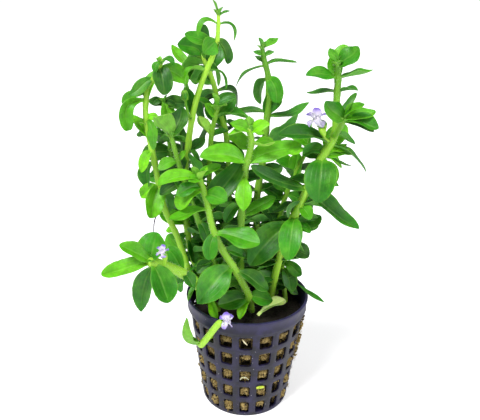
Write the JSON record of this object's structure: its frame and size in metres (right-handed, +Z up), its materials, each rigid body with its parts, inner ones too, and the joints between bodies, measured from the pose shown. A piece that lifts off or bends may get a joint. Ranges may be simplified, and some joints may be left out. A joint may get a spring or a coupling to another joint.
{
  "type": "potted aquarium plant",
  "caption": "Bacopa crenata: leafy branching stems with small lilac flowers, rooted in a plug of rockwool in a round plastic net pot.",
  "frame": {"origin": "centre of the pot's underside", "axes": "+Z up along the pot's axis; -Y is the side that the picture shows"},
  "size_m": [0.0957, 0.0699, 0.1668],
  "materials": {
    "leaf": "live leaf, satin with a pale midrib",
    "old_leaf": "old leaf, yellowed",
    "stem": "live stem, smooth to finely hairy",
    "flower": "thin petals, matte",
    "net_pot": "moulded, satin",
    "rockwool": "felted mineral fibre, damp"
  },
  "bodies": {
    "root": {"bud_tall": "stem", "flower_right": "flower", "flower_side": "flower", "flower_trailing": "flower", "leaf_arching_1": "leaf", "leaf_arching_2": "leaf", "leaf_back_1": "leaf", "leaf_fork_1": "leaf", "leaf_front_1": "leaf", "leaf_front_2": "leaf", "leaf_front_3": "leaf", "leaf_front_4": "leaf", "leaf_front_5": "leaf", "leaf_front_6": "leaf", "leaf_front_7": "leaf", "leaf_leaning_1": "leaf", "leaf_low_1": "leaf", "leaf_middle_1": "leaf", "leaf_middle_2": "leaf", "leaf_middle_3": "leaf", "leaf_middle_4": "leaf", "leaf_old": "old_leaf", "leaf_right_1": "leaf", "leaf_right_10": "leaf", "leaf_right_11": "leaf", "leaf_right_2": "leaf", "leaf_right_3": "leaf", "leaf_right_4": "leaf", "leaf_right_5": "leaf", "leaf_right_6": "leaf", "leaf_right_7": "leaf", "leaf_right_8": "leaf", "leaf_right_9": "leaf", "leaf_second_1": "leaf", "leaf_second_2": "leaf", "leaf_second_3": "leaf", "leaf_second_4": "leaf", "leaf_trailing_1": "leaf", "leaf_trailing_2": "leaf", "leaf_trailing_3": "leaf", "net_pot": "net_pot", "rockwool_plug": "rockwool", "shoot_side": "stem", "stem_arching": "stem", "stem_back": "stem", "stem_dark": "stem", "stem_fork": "stem", "stem_front": "stem", "stem_inner": "stem", "stem_leaning": "stem", "stem_low": "stem", "stem_middle": "stem", "stem_right": "stem", "stem_second": "stem", "stem_slim": "stem", "stem_tall": "stem", "stem_trailing": "stem"}
  },
  "joints": []
}
